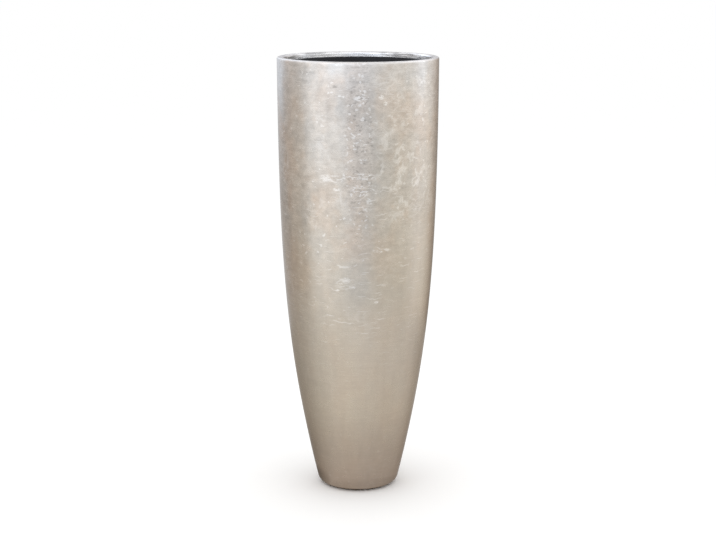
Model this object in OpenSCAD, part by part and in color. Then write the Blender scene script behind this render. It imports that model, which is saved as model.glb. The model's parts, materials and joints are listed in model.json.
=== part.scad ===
// Tall tapered floor planter: a leaf-finished moulded shell with a lift-out liner.
// Millimetres, +Z up, origin at the middle of the foot, on the floor.

/* [Body] */
// Height from the floor to the top of the rim
height = 900; // [860:5:960]
// Outside diameter at the rim
rim_d = 330; // [310:1:360]
// Diameter at which the side would meet the foot if the corner were sharp
foot_d = 164; // [150:1:190]
// Lean of the side at the rim, in degrees
rim_lean = 0.3; // [0:0.1:2]
// Lean of the side at the foot, in degrees
foot_lean = 13.6; // [12:0.1:15]
// How far down the rim's direction holds before the side turns in
rim_hold = 415; // [380:5:450]
// How far up the foot's direction holds before the side turns upright
foot_hold = 300; // [260:5:340]
// Radius of the rounded corner under the side
foot_round = 18; // [14:1:22]
// Thickness of the moulded wall
wall = 4.5; // [3:0.5:6]

/* [Rim] */
// Width of the rim, from its outside to the opening
rim_w = 14; // [12:1:20]
// Rounding of the rim's two edges
rim_round = 4; // [2:0.5:5]
// Depth of the liner's flange below the top of the rim
liner_drop = 10; // [8:1:20]

/* [Ledge] */
// How far the ledge reaches in from the opening's edge
ledge_w = 8; // [6:1:14]
// Thickness of the ring that forms the ledge
ledge_t = 12; // [8:1:18]

/* [Foot] */
// Width of the shell's in-turned foot flange
foot_flange = 14; // [10:1:24]
// Thickness of the panel that closes the foot
base_t = 6; // [4:1:10]
// Height of the cast weight above the panel
ballast_h = 70; // [40:5:120]
// Thickness of the anti-slip pad
pad_t = 1.5; // [1:0.5:3]
// Margin of bare foot round the pad
pad_margin = 6; // [3:1:10]

/* [Liner] */
// Depth of the liner, from its flange's top to its foot ring
liner_depth = 280; // [240:5:340]
// Thickness of the liner's wall and floor
liner_wall = 2.5; // [2:0.25:3.5]
// Thickness of the liner's flange
flange_t = 3; // [2.5:0.5:4]
// Draft of the liner's side, in degrees
liner_draft = 3; // [2:0.25:4]
// Depth of the stacking shoulder below the flange's top
shoulder_drop = 60; // [54:1:66]
// How far the shoulder steps in
shoulder_step = 2.5; // [1.5:0.5:4]
// Rounding of the liner's bottom edge
liner_round = 10; // [6:1:14]
// Width of the ring that the liner stands on
liner_foot_w = 14; // [10:1:20]
// How far the liner's floor is raised above its foot ring
floor_raise = 5; // [4:0.5:8]
// Number of drainage ribs on the liner's floor
rib_count = 8; // [4:1:12]
// Width of a drainage rib
rib_w = 3; // [2:0.5:5]
// Height of a drainage rib
rib_h = 4; // [2:0.5:6]

/* [Handles] */
// Diameter of the handle's wire
wire_d = 4; // [3:0.5:5]
// Distance between the middles of a handle's two legs
handle_w = 90; // [80:1:100]
// Length of a handle, from its pivot to the middle of its grip
handle_len = 70; // [60:1:75]
// Depth of the pivot below the flange's top
handle_drop = 25; // [20:1:30]
// Radius of the handle's two lower corners
grip_bend = 12; // [8:1:16]
// Radius of the bend into each ear
ear_bend = 5; // [4:0.5:7]
// Outside radius of a moulded ear
ear_r = 6; // [5:0.5:7]
// Width of a moulded ear
ear_w = 8; // [6:1:10]

/* [Drain plug] */
// Diameter of the drain hole
drain_d = 22; // [16:1:28]
// How far the plug's flange covers the floor round the hole
plug_cover = 6; // [4:1:8]
// Thickness of the plug's flange and of its knob's head
plug_t = 3; // [2:0.5:4]
// How far the plug's body reaches below the floor
plug_below = 3; // [2:0.5:3.5]
// Radius of the knob's neck
knob_neck = 5; // [3:0.5:6]
// Radius of the knob's head
knob_r = 8.5; // [7:0.5:10]
// Height of the knob above the plug's flange
knob_h = 12; // [10:1:16]

/* [Fits] */
// Gap under a lifted-out piece where it sits on its seat
seat_gap = 0.3; // [0.2:0.05:0.4]
// Thickness of the adhesive between bonded curved faces
bond_line = 0.3; // [0.2:0.05:0.5]
// Gap between the liner's flange and the rim's opening
flange_gap = 1; // [0.6:0.1:2]
// Gap between the liner's side and the ledge
liner_gap = 1.5; // [1:0.1:3]
// Radial clearance of a wire end in its ear and of the plug in its hole
pin_clear = 0.05; // [0.02:0.01:0.1]
// Gap between a hanging handle and the liner's side
swing_gap = 1; // [0.6:0.1:2]

/* [Hidden] */
$fn = 96;
side_steps = 40;
arc_steps = 8;
search_steps = 32;

// Levels and radii of the shell
rim_r = rim_d / 2;
foot_r = foot_d / 2;
foot_z = pad_t;
mouth_r = rim_r - rim_w;
flange_z = height - liner_drop;
liner_seat_z = flange_z - flange_t;
ledge_z = liner_seat_z - seat_gap;
ledge_in = mouth_r - ledge_w;
corner_z = foot_z + foot_round;
side_start_z = corner_z - foot_round * sin(foot_lean);
base_z = foot_z + wall;
ballast_z = base_z + base_t;

// The side line is one cubic curve from the rim down to the sharp foot corner
side_ends = [
    [rim_r, height],
    [rim_r - rim_hold * tan(rim_lean), height - rim_hold],
    [foot_r + foot_hold * tan(foot_lean), foot_z + foot_hold],
    [foot_r, foot_z]
];
function side_at(t) =
    pow(1 - t, 3) * side_ends[0] + 3 * pow(1 - t, 2) * t * side_ends[1]
    + 3 * (1 - t) * t * t * side_ends[2] + pow(t, 3) * side_ends[3];
function side_slope(t) =
    3 * pow(1 - t, 2) * (side_ends[1] - side_ends[0])
    + 6 * (1 - t) * t * (side_ends[2] - side_ends[1])
    + 3 * t * t * (side_ends[3] - side_ends[2]);
// Place on the side line at a height, found by halving the stretch that holds it
function side_place(z, low = 0, high = 1, left = search_steps) =
    left == 0 ? (low + high) / 2
    : side_at((low + high) / 2)[1] > z
        ? side_place(z, (low + high) / 2, high, left - 1)
        : side_place(z, low, (low + high) / 2, left - 1);
function lean_at(t) = atan(side_slope(t)[0] / side_slope(t)[1]);
// Radius of the side, set in square to it by a thickness
function side_r(z, set_in = 0) =
    let (t = side_place(z)) side_at(t)[0] - set_in / cos(lean_at(t));
corner_r = side_r(side_start_z) - foot_round * cos(foot_lean);
// Radius of the hollow inside the shell at a height, less a gap
function hollow_r(z, gap = 0) =
    let (bend = foot_round - wall - gap)
    z < corner_z - bend * sin(foot_lean)
        ? corner_r + sqrt(max(0, bend * bend - pow(corner_z - z, 2)))
        : side_r(z, wall + gap);
// Points of an arc about a centre, from one angle to another
function arc(centre, r, from, to) =
    [for (i = [0 : arc_steps])
        let (a = from + (to - from) * i / arc_steps) centre + r * [cos(a), sin(a)]];
// Heights from the bottom to the top of a stretch of the side, evenly spaced
function levels(bottom, top, steps) = [for (i = [0 : steps]) bottom + (top - bottom) * i / steps];

// Levels and radii of the liner
flange_r = mouth_r - flange_gap;
liner_top_r = ledge_in - liner_gap;
liner_z = flange_z - liner_depth;
shoulder_z = flange_z - shoulder_drop;
shoulder_slope = 2 * shoulder_step;
liner_corner_z = liner_z + liner_round;
floor_z = liner_z + floor_raise;
floor_top_z = floor_z + liner_wall;
flange_round = flange_t / 3;
function liner_out(z) =
    liner_top_r - (liner_seat_z - z) * tan(liner_draft)
    - shoulder_step * min(1, max(0, (shoulder_z - z) / shoulder_slope));
function liner_in(z) = liner_out(z) - liner_wall;
liner_corner_r = liner_out(liner_corner_z) - liner_round;
liner_foot_in = liner_corner_r - liner_foot_w;

// Places of the handles
wire_r = wire_d / 2;
handle_z = flange_z - handle_drop;
handle_low_z = handle_z - handle_len;
leg_y = handle_w / 2;
ear_near_y = leg_y + ear_bend + swing_gap;
ear_far_y = ear_near_y + ear_w;
handle_x = min(
    sqrt(pow(liner_in(handle_low_z), 2) - pow(leg_y + wire_r, 2)),
    sqrt(pow(liner_in(handle_z), 2) - pow(ear_far_y, 2))
) - wire_r - swing_gap;

// Places of the drain and its plug
drain_r = drain_d / 2;
plug_r = drain_r + plug_cover;
plug_seat_z = floor_top_z + seat_gap;
plug_bevel = plug_below / 2;
rib_start = plug_r + rib_w;
rib_end = liner_foot_in - rib_w;

module shell() {
    color([0.75, 0.71, 0.65])
    rotate_extrude() polygon(concat(
        [[corner_r - foot_flange, foot_z]],
        arc([corner_r, corner_z], foot_round, -90, -foot_lean),
        [for (z = levels(side_start_z, height - rim_round, side_steps))
            if (z > side_start_z && z < height - rim_round) [side_r(z), z]],
        arc([rim_r - rim_round, height - rim_round], rim_round, 0, 90),
        arc([mouth_r + rim_round, height - rim_round], rim_round, 90, 180),
        [[mouth_r, ledge_z]],
        [for (z = levels(ledge_z, corner_z, side_steps)) [hollow_r(z), z]],
        arc([corner_r, corner_z], foot_round - wall, -foot_lean, -90),
        [[corner_r - foot_flange, base_z]]
    ));
}

module liner_ledge() {
    ledge_low_z = ledge_z - ledge_t;
    color([0.16, 0.16, 0.17])
    rotate_extrude() polygon([
        [ledge_in, ledge_low_z],
        [hollow_r(ledge_low_z, bond_line), ledge_low_z],
        [hollow_r(ledge_z, bond_line), ledge_z],
        [ledge_in, ledge_z]
    ]);
}

module base_panel() {
    color([0.55, 0.54, 0.50])
    translate([0, 0, base_z]) cylinder(r = corner_r - bond_line, h = base_t);
}

module ballast() {
    steps = 8;
    color([0.60, 0.59, 0.57])
    rotate_extrude() polygon(concat(
        [[0, ballast_z]],
        [for (z = levels(ballast_z, ballast_z + ballast_h, steps)) [hollow_r(z, bond_line), z]],
        [[0, ballast_z + ballast_h]]
    ));
}

module base_pad() {
    color([0.10, 0.10, 0.10])
    cylinder(r = corner_r - pad_margin, h = pad_t);
}

// One moulded ear on the +X, +Y quarter of the liner, reaching out to its wall
module ear() {
    reach = liner_top_r - handle_x;
    web = 2 * (ear_r - 1);
    translate([handle_x, (ear_near_y + ear_far_y) / 2, handle_z]) {
        rotate([90, 0, 0]) cylinder(r = ear_r, h = ear_w, center = true);
        translate([0, -ear_w / 2, -web / 2]) cube([reach, ear_w, web]);
    }
}

module ears() {
    envelope_low_z = handle_z - 2 * ear_r;
    intersection() {
        for (x = [0, 1], y = [0, 1]) mirror([x, 0, 0]) mirror([0, y, 0]) ear();
        rotate_extrude() polygon([
            [0, envelope_low_z],
            [liner_in(envelope_low_z) + liner_wall / 2, envelope_low_z],
            [liner_in(flange_z) + liner_wall / 2, flange_z],
            [0, flange_z]
        ]);
    }
}

module liner_wall_turned() {
    inner_round = liner_round - liner_wall;
    rotate_extrude() polygon(concat(
        [[0, floor_z], [liner_foot_in, floor_z], [liner_foot_in + floor_raise / 2, liner_z]],
        arc([liner_corner_r, liner_corner_z], liner_round, -90, 0),
        [[liner_out(shoulder_z - shoulder_slope), shoulder_z - shoulder_slope],
         [liner_out(shoulder_z), shoulder_z],
         [liner_top_r, liner_seat_z],
         [flange_r, liner_seat_z]],
        arc([flange_r - flange_round, flange_z - flange_round], flange_round, 0, 90),
        arc([liner_in(flange_z) + flange_round, flange_z - flange_round], flange_round, 90, 180),
        [[liner_in(shoulder_z), shoulder_z],
         [liner_in(shoulder_z - shoulder_slope), shoulder_z - shoulder_slope]],
        arc([liner_corner_r, liner_corner_z], inner_round, 0, -90),
        [[liner_foot_in + liner_wall + floor_raise / 2, liner_z + liner_wall],
         [liner_foot_in + liner_wall, floor_top_z],
         [0, floor_top_z]]
    ));
}

module floor_ribs() {
    for (i = [0 : rib_count - 1])
        rotate([0, 0, i * 360 / rib_count])
        translate([rib_start, -rib_w / 2, floor_z])
            cube([rib_end - rib_start, rib_w, liner_wall + rib_h]);
}

module liner() {
    color([0.07, 0.07, 0.08])
    difference() {
        union() {
            liner_wall_turned();
            ears();
            floor_ribs();
        }
        for (side = [-1, 1])
            translate([side * handle_x, 0, handle_z]) rotate([90, 0, 0])
                cylinder(r = wire_r + pin_clear, h = 2 * ear_far_y + ear_w, center = true);
        translate([0, 0, floor_z - liner_wall])
            cylinder(r = drain_r + pin_clear, h = 3 * liner_wall);
    }
}

// A quarter bend of wire in the XY plane, about the origin, from +X round to +Y
module wire_bend(r) {
    rotate_extrude(angle = 90) translate([r, 0]) circle(r = wire_r);
}

// Half of a hanging handle, on its +Y side: stub in the ear, bend, leg, corner and half the grip
module handle_half() {
    stub = swing_gap + ear_w + wire_r / 2;
    leg = handle_len - ear_bend - grip_bend;
    translate([0, leg_y + ear_bend, 0]) rotate([-90, 0, 0]) cylinder(r = wire_r, h = stub);
    translate([0, leg_y + ear_bend, -ear_bend]) rotate([90, 0, 0]) rotate([0, -90, 0])
        wire_bend(ear_bend);
    translate([0, leg_y, -ear_bend - leg]) cylinder(r = wire_r, h = leg);
    translate([0, leg_y - grip_bend, -ear_bend - leg]) rotate([0, 90, 0]) wire_bend(grip_bend);
    translate([0, 0, -handle_len]) rotate([-90, 0, 0])
        cylinder(r = wire_r, h = leg_y - grip_bend);
}

module handle_at(x) {
    color([0.62, 0.63, 0.64])
    translate([x, 0, handle_z]) {
        handle_half();
        mirror([0, 1, 0]) handle_half();
    }
}

module handle_left() { handle_at(-handle_x); }

module handle_right() { handle_at(handle_x); }

module drain_plug() {
    knob_top_z = plug_seat_z + plug_t + knob_h;
    head_z = knob_top_z - plug_t;
    color([0.14, 0.14, 0.14])
    rotate_extrude() polygon([
        [0, floor_z - plug_below],
        [drain_r - plug_bevel, floor_z - plug_below],
        [drain_r, floor_z - plug_below + plug_bevel],
        [drain_r, plug_seat_z],
        [plug_r, plug_seat_z],
        [plug_r, plug_seat_z + plug_t / 2],
        [plug_r - plug_t / 2, plug_seat_z + plug_t],
        [knob_neck, plug_seat_z + plug_t],
        [knob_neck, head_z],
        [knob_r, head_z],
        [knob_r, knob_top_z - plug_t / 3],
        [knob_r - plug_t / 3, knob_top_z],
        [0, knob_top_z]
    ]);
}

shell();
liner_ledge();
base_panel();
ballast();
base_pad();
liner();
handle_left();
handle_right();
drain_plug();
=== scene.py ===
"""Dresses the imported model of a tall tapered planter: its silver leaf skin, its lift-out liner with
handles and drain plug, and the studio it stands in. Lengths are metres and +Z is up."""

import json
import math

import bmesh
import bpy
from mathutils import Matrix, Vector


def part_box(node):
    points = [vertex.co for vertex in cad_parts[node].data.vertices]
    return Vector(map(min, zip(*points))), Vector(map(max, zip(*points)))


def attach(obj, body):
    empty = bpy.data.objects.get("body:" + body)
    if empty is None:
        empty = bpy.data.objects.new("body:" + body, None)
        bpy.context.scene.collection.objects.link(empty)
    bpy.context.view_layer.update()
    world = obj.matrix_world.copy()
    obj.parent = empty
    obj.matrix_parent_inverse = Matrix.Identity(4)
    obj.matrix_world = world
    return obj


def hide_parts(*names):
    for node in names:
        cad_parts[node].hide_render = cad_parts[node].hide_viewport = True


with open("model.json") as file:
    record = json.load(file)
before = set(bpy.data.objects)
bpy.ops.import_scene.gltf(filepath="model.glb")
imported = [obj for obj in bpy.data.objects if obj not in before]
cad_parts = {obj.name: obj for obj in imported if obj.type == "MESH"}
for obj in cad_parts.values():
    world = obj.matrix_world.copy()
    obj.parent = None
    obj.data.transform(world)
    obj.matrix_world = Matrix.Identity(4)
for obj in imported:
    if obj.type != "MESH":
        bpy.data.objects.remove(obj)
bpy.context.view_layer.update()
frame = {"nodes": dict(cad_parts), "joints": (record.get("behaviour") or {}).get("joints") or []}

bl_info = {
    "name": "Tall Leaf Planter",
    "version": (1, 0, 0),
    "blender": (4, 5, 0),
    "location": "3D View > Sidebar > Planter",
    "description": "Builds a tall tapered planter in silver leaf, with a lift-out liner",
    "category": "Add Mesh",
}

FULL_TURN = 2 * math.pi
MM = 0.001
# Points that are closer together than this are made one, in a tree and after it
SEAM, WELD = 0.01 * MM, 0.001 * MM
# Angle between faces over which an edge stays sharp, in degrees
SHARP = 35

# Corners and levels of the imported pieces, from which most sizes follow
SHELL_LOW, SHELL_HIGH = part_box("shell")
LEDGE_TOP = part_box("liner_ledge")[1].z
LINER_LOW, LINER_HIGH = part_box("liner")
HANDLE_LOW, HANDLE_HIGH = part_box("handle_right")
WIRE_RADIUS = (HANDLE_HIGH.x - HANDLE_LOW.x) / 2
PLUG_LOW, PLUG_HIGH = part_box("drain_plug")
PIVOT_X, _, PIVOT_Z = next(j["pos_m"] for j in frame["joints"] if j["name"] == "handle_right_swing")


def setting(kind, **limits):
    """A function that makes one kind of setting from a name, a description and a default."""

    def make(name, description, default):
        return kind(name=name, description=description, default=default, **limits)

    return make


# Kinds of settings that the user may change. Lengths are in metres and colours in linear light.
length = setting(bpy.props.FloatProperty, unit="LENGTH", precision=4)
angle = setting(bpy.props.FloatProperty, subtype="ANGLE")
share = setting(bpy.props.FloatProperty, min=0.0, max=1.0, subtype="FACTOR")
strength = setting(bpy.props.FloatProperty, min=0.0, soft_max=10.0)
count = setting(bpy.props.IntProperty, min=3)
colour = setting(bpy.props.FloatVectorProperty, size=3, min=0.0, max=1.0, subtype="COLOR")
span = setting(bpy.props.FloatVectorProperty, size=2, unit="LENGTH")
focal_length = setting(bpy.props.FloatProperty, min=20.0, max=200.0)


class ShellSettings(bpy.types.PropertyGroup):
    """Sizes of the moulded shell and of the leaf laid on it."""

    height: length("Height", "Height of the rim's top above the floor", SHELL_HIGH.z)
    rim_radius: length("Rim Radius", "Outside radius at the rim", SHELL_HIGH.x)
    rim_width: length("Rim Width", "Width of the rim's top", 14 * MM)
    rim_round: length("Rim Rounding", "Rounding of the rim's edges", 4 * MM)
    rim_draft: angle("Rim Draft", "Lean of the mouth's inner face", math.radians(2.6))
    rim_lean: angle("Rim Lean", "Lean of the side at the rim", math.radians(0.3))
    rim_hold: length("Rim Hold", "How far down the rim's direction holds", 0.415)
    foot_radius: length("Foot Radius", "Radius of the foot with a sharp corner", 0.082)
    foot_lean: angle("Foot Lean", "Lean of the side at the foot", math.radians(13.6))
    foot_hold: length("Foot Hold", "How far up the foot's direction holds", 0.3)
    foot_round: length("Foot Rounding", "Rounding of the corner under the side", 18 * MM)
    foot_flange: length("Foot Flange", "Width of the in-turned foot flange", 14 * MM)
    wall: length("Wall", "Thickness of the moulded wall", 4.5 * MM)
    edge_break: length("Edge Break", "Bevel of the edges that don't show", 0.6 * MM)
    steps_around: count("Steps Around", "Faces round the shell", 320)
    side_rows: count("Side Rows", "Rows of faces up the outside", 190)
    wave_height: length("Wave Height", "Depth of the laminate's slow waves", 0.22 * MM)
    wave_size: length("Wave Size", "Size of the laminate's slow waves", 0.11)
    crease_height: length("Crease Height", "Depth of the creases pressed into the leaf", 0.09 * MM)
    crease_size: length("Crease Size", "Size of the creases pressed into the leaf", 0.022)


class LeafSettings(bpy.types.PropertyGroup):
    """Colours and texture of the silver leaf."""

    # The leaf's colours grow darker and warmer from the rim to the foot: partly the leaf's own warmer
    # tone lower down, and partly painted shade that deepens towards the floor.
    top_colour: colour("Top Colour", "Leaf at the rim", (0.577, 0.543, 0.508))
    middle_colour: colour("Middle Colour", "Leaf halfway up", (0.512, 0.461, 0.394))
    low_colour: colour("Low Colour", "Leaf at a fifth of the height", (0.437, 0.374, 0.296))
    foot_colour_and_shade: colour("Foot Colour", "Leaf at the foot", (0.345, 0.268, 0.21))
    cool_patch: colour("Cool Patch", "Tint of the cooler patches", (0.96, 0.98, 1.0))
    warm_patch: colour("Warm Patch", "Tint of the warmer patches", (1.0, 0.955, 0.92))
    streak_cast: colour("Streak Cast", "Tint of the grey streaks", (1.0, 0.967, 0.935))
    rim_colour: colour("Rim Colour", "Silver paint on the rim", (0.81, 0.80, 0.79))
    # Colour of the bright marks, among them painted highlights on the folds and painted glints on the
    # crumpled leaf
    fleck_and_highlight_colour: colour("Fleck Colour", "Small bright flecks of fresh leaf", (0.92, 0.90, 0.87))
    lining_colour: colour("Lining Colour", "Paint inside the shell, below the rim", (0.02, 0.02, 0.022))
    roughness: share("Roughness", "Roughness of the lacquered leaf", 0.26)
    smooth_below: length("Smooth Below", "Height under which the leaf lies smooth", 0.28)
    crumpled_above: length("Crumpled Above", "Height over which the leaf is fully crumpled", 0.62)
    sheets_around: count("Sheets Around", "Leaf sheets laid round the planter", 12)
    sheet_height: length("Sheet Height", "Height of one leaf sheet", 0.085)


class LinerSettings(bpy.types.PropertyGroup):
    """Sizes of the lift-out liner."""

    wall: length("Wall", "Thickness of the liner's wall and floor", 2.5 * MM)
    flange: length("Flange", "Thickness of the liner's flange", 3 * MM)
    flange_reach: length("Flange Reach", "How far the flange reaches past the side", 8.5 * MM)
    draft: angle("Draft", "Draft of the liner's side", math.radians(3.0))
    shoulder_drop: length("Shoulder Drop", "Depth of the stacking shoulder", 60 * MM)
    shoulder_step: length("Shoulder Step", "How far the shoulder steps in", 2.5 * MM)
    corner: length("Corner", "Rounding of the bottom edge", 10 * MM)
    foot_width: length("Foot Width", "Width of the ring the liner stands on", 14 * MM)
    floor_raise: length("Floor Raise", "Height of the floor above the foot ring", 5 * MM)
    rib_count: count("Rib Count", "Drainage ribs on the floor", 8)
    rib_width: length("Rib Width", "Width of a drainage rib", 3 * MM)
    rib_height: length("Rib Height", "Height of a drainage rib", 4 * MM)
    edge_round: length("Edge Rounding", "Rounding of the liner's edges and ribs", 1 * MM)
    steps_around: count("Steps Around", "Faces round the liner", 160)


class FittingSettings(bpy.types.PropertyGroup):
    """Sizes of the wire handles, their ears and the drain plug."""

    handle_width: length("Handle Width", "Distance between a handle's legs", 90 * MM)
    grip_bend: length("Grip Bend", "Radius of a handle's lower corners", 12 * MM)
    ear_bend: length("Ear Bend", "Radius of the bend into an ear", 5 * MM)
    ear_radius: length("Ear Radius", "Outside radius of an ear", 6 * MM)
    ear_width: length("Ear Width", "Width of an ear", 8 * MM)
    ear_gap: length("Ear Gap", "Gap between a wire's bend and its ear", 1 * MM)
    pin_clearance: length("Pin Clearance", "Clearance of a wire in its ear", 0.05 * MM)
    plug_cover: length("Plug Cover", "How far the plug's flange covers the floor", 6 * MM)
    plug_flange: length("Plug Flange", "Thickness of the plug's flange and knob head", 3 * MM)
    plug_clearance: length("Plug Clearance", "Clearance of the plug in its hole", 0.05 * MM)
    plug_taper: length("Plug Taper", "Taper at the lower end of the plug", 1.5 * MM)
    plug_round: length("Plug Rounding", "Rounding of the plug's edges", 1.2 * MM)
    knob_neck: length("Knob Neck", "Radius of the knob's neck", 5 * MM)
    knob_radius: length("Knob Radius", "Radius of the knob's head", 8.5 * MM)
    knob_height: length("Knob Height", "Height of the knob", 12 * MM)
    plug_steps: count("Plug Steps", "Faces round the plug", 64)


class StudioSettings(bpy.types.PropertyGroup):
    """The camera, the floor and the light."""

    camera_distance: length("Camera Distance", "From the planter's axis", 3.216)
    camera_height: length("Camera Height", "Above the floor", 1.121)
    camera_pitch: angle("Camera Pitch", "How far the camera looks down", math.radians(11.653))
    lens: focal_length("Lens", "Focal length in millimetres", 79.19)
    floor_radius: length("Floor Radius", "Radius of the round floor", 60.0)
    floor_colour: colour("Floor Colour", "The pale floor, as it lights the planter", (0.80, 0.80, 0.80))
    floor_white: colour("Floor White", "The floor, as it is seen", (1.0, 1.0, 1.0))
    # The reflector is a glowing card: its bands, glow and windows are painted light that shows in the
    # metal's reflections
    tent_radius: length("Tent Radius", "Radius of the wrap-round reflector", 1.2)
    tent_height: length("Tent Height", "Height of the wrap-round reflector", 2.2)
    tent_low: length("Tent Low", "Height of the reflector's lower edge", 4 * MM)
    apron_radius: length("Apron Radius", "Inner radius of the reflector's part on the floor", 0.079)
    # Painted shadow of the planter on the reflector's part on the floor: its tones are darker close to
    # the foot
    near_floor: span("Near Floor", "Radii between which the floor's tones rise to full", (0.10, 0.42))
    near_shade: share("Near Shade", "Share of the floor's tones that is left close to the foot", 0.82)
    glow: colour("Glow", "Light that the reflector gains towards its top", (0.55, 0.61, 0.72))
    glow_from: length("Glow From", "Height at which the glow starts", 0.60)
    glow_to: length("Glow To", "Height at which the glow is full", 1.40)
    sky_light: strength("Sky Light", "Strength of the white surroundings", 1.0)
    key_light: strength("Key Light", "Radiance of the lamp at the front left", 0.5)
    top_light: strength("Top Light", "Radiance of the lamp overhead", 1.2)
    back_light: strength("Back Light", "Radiance of the lamp behind", 0.6)
    window: colour("Window", "Light of the cool windows", (0.34, 0.48, 0.66))


def math_operator(operation, reflected=False):
    """A method of Value that adds a Math node, with the value as its last operand if reflected."""

    def add_node(self, *others):
        operands = (*others, self) if reflected else (self, *others)
        return self.graph.node("ShaderNodeMath", {"operation": operation}, dict(enumerate(operands)))

    return add_node


class Value:
    """A node's output. Python's operators on it add Math nodes."""

    def __init__(self, graph, socket):
        self.graph = graph
        self.socket = socket

    __add__ = __radd__ = math_operator("ADD")
    __sub__ = math_operator("SUBTRACT")
    __rsub__ = math_operator("SUBTRACT", reflected=True)
    __mul__ = __rmul__ = math_operator("MULTIPLY")
    __truediv__ = math_operator("DIVIDE")
    __rtruediv__ = math_operator("DIVIDE", reflected=True)
    __pow__ = math_operator("POWER")
    __mod__ = math_operator("FLOORED_MODULO")
    __gt__ = math_operator("GREATER_THAN")
    __abs__ = math_operator("ABSOLUTE")
    floor = math_operator("FLOOR")
    most = math_operator("MAXIMUM")
    least = math_operator("MINIMUM")
    sine = math_operator("SINE")
    cosine = math_operator("COSINE")
    arctan2 = math_operator("ARCTAN2")


class Graph:
    """Adds nodes to one tree."""

    def __init__(self, tree):
        self.tree = tree

    def node(self, kind, settings=None, values=None, output=0):
        """Adds a node, makes its settings first, then sets or links its sockets."""
        made = self.tree.nodes.new(kind)
        for name, setting in (settings or {}).items():
            if name == "stops":
                self._stops(made.color_ramp, setting)
            else:
                setattr(made, name, setting)
        for key, value in (values or {}).items():
            self.feed(made.inputs[key], value)
        return Value(self, made.outputs[output])

    def feed(self, socket, value):
        """Links a value to a socket, or sets the socket to a plain number or colour."""
        if isinstance(value, Value):
            self.tree.links.new(value.socket, socket)
        elif socket.type == "RGBA" and len(value) == 3:
            socket.default_value = (*value, 1.0)
        else:
            socket.default_value = value

    def other(self, value, output):
        """Another output of the node that a value comes from."""
        return Value(self, value.socket.node.outputs[output])

    @staticmethod
    def _stops(ramp, stops):
        while len(ramp.elements) < len(stops):
            ramp.elements.new(1.0)
        for element, (place, shade) in zip(ramp.elements, stops):
            element.position = place
            element.color = (*shade, 1.0)

    def xyz(self, vector):
        split = self.node("ShaderNodeSeparateXYZ", values={0: vector})
        return split, self.other(split, 1), self.other(split, 2)

    def vector(self, x, y, z):
        return self.node("ShaderNodeCombineXYZ", values={0: x, 1: y, 2: z})

    def grey(self, value):
        return self.vector(value, value, value)

    def times(self, vector, factors):
        return self.node("ShaderNodeVectorMath", {"operation": "MULTIPLY"}, {0: vector, 1: factors})

    def plus(self, vector, other):
        return self.node("ShaderNodeVectorMath", {"operation": "ADD"}, {0: vector, 1: other})

    def noise(self, place, scale, detail=2.0, roughness=0.5, z_scale=1.0, output=0):
        """Noise whose scale is in swells per metre, and z_scale times finer along Z."""
        if z_scale != 1.0:
            place = self.times(place, (1.0, 1.0, z_scale))
        values = {"Vector": place, "Scale": scale, "Detail": detail, "Roughness": roughness}
        return self.node("ShaderNodeTexNoise", values=values, output=output)

    def cells(self, place, scale, feature="F1", output=0):
        values = {"Vector": place, "Scale": scale}
        return self.node("ShaderNodeTexVoronoi", {"feature": feature}, values, output)

    def ease(self, value, low, high, to_low=0.0, to_high=1.0):
        """Goes smoothly from one number to another between two readings."""
        values = {"Value": value, "From Min": low, "From Max": high, "To Min": to_low, "To Max": to_high}
        return self.node("ShaderNodeMapRange", {"interpolation_type": "SMOOTHSTEP"}, values)

    def thread(self, noise):
        """A thin line along which noise passes its middle."""
        return self.ease(abs(noise - 0.5), 0.05, 0.0)

    def mix(self, factor, first, second, blend_type="MIX"):
        """A colour between two colours, or the two blended in another way."""
        settings = {"data_type": "RGBA", "blend_type": blend_type}
        return self.node("ShaderNodeMix", settings, {"Factor": factor, 6: first, 7: second}, 2)

    def tint(self, factor, first, second):
        """A colour multiplied by another, as far as the factor says."""
        return self.mix(factor, first, second, "MULTIPLY")

    def azimuth(self, x, y):
        """Angle of a point round +Z: nothing in front, and rising towards the right."""
        return x.arctan2(0 - y)

    def distance(self, x, y):
        """Distance of a point from the planter's axis."""
        return (x * x + y * y) ** 0.5

    def placed(self, turn, height, places):
        """How far a point lies within any of several soft ovals, by its angle and height."""
        found = 0.0
        for azimuth, level, width, tall, strength in places:
            across = (turn - math.radians(azimuth)) / math.radians(width)
            up = (height - level) / tall
            oval = self.ease(across * across + up * up, 1.0, 0.2)
            found = (oval * strength).most(found)
        return found

    def bump(self, height, distance, strength=1.0):
        values = {"Height": height, "Distance": distance, "Strength": strength}
        return self.node("ShaderNodeBump", values=values)


class Finish(Graph):
    """A material whose surface is one Principled shader."""

    def __init__(self, name):
        self.material = bpy.data.materials.new(name)
        self.material.use_nodes = True
        super().__init__(self.material.node_tree)
        self.shader = self.tree.nodes["Principled BSDF"]
        self.place = self.node("ShaderNodeTexCoord", output=3)

    def surface(self, **values):
        """Sets or links the shader's sockets, such as base_color or roughness."""
        for name, value in values.items():
            label = name.replace("_", " ").title().replace("Ior", "IOR")
            self.feed(self.shader.inputs[label], value)
        return self.material


def evenly(start, stop, steps):
    """Numbers at even steps from one to another, with both ends."""
    return [start + (stop - start) * i / steps for i in range(steps + 1)]


def arc(centre, radius, start, stop, steps=6):
    """Points of an arc in the profile's plane, from one angle to another in degrees."""
    turns = [math.radians(degrees) for degrees in evenly(start, stop, steps)]
    return [(centre[0] + radius * math.cos(a), centre[1] + radius * math.sin(a)) for a in turns]


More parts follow.
